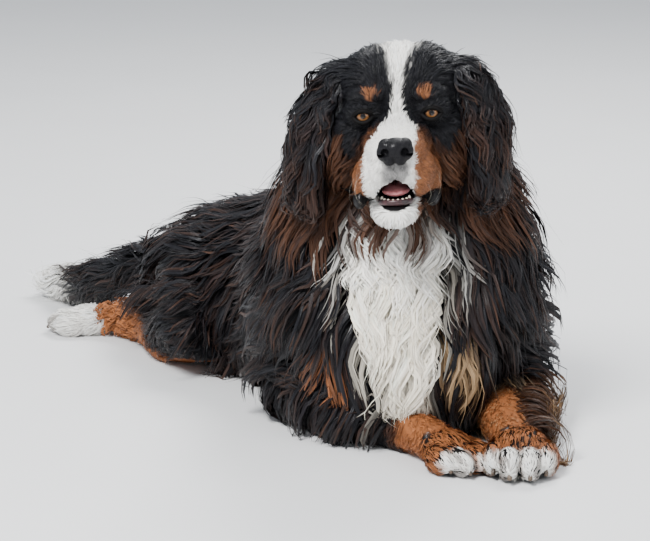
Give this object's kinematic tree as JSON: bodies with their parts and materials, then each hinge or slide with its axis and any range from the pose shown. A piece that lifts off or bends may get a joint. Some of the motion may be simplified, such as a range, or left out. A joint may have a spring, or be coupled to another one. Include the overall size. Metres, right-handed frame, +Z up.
{
  "type": "bernese mountain dog",
  "caption": "Life-size long-coated tricolour dog lying on its chest with raised head, open mouth and forepaws stretched ahead; still model.",
  "frame": {"origin": "point on the floor under the dog's brisket, on the flat of its chest", "axes": "-Y the way the head and chest face, +X the dog's left, +Z up; the hindquarters lie toward +Y and -X"},
  "size_m": [0.7687, 1.0928, 0.5531],
  "materials": {
    "coat": "long soft hair, slightly glossy",
    "white_coat": "soft short hair",
    "nose_leather": "moist, finely pebbled",
    "eye": "wet gloss",
    "tongue": "wet",
    "teeth": "enamel on a dark gum"
  },
  "bodies": {
    "root": {"head": "coat", "eye_left": "eye", "eye_right": "eye", "nose": "nose_leather", "jaw": "white_coat", "tongue": "tongue", "lower_teeth": "teeth", "ear_left": "coat", "ear_right": "coat", "neck": "coat", "torso": "coat", "rump": "coat", "foreleg_left": "coat", "foreleg_right": "coat", "hindleg_left": "coat", "hindleg_right": "coat", "forepaw_left": "white_coat", "forepaw_right": "white_coat", "hindpaw_left": "white_coat", "hindpaw_right": "white_coat", "tail": "coat"}
  },
  "joints": []
}
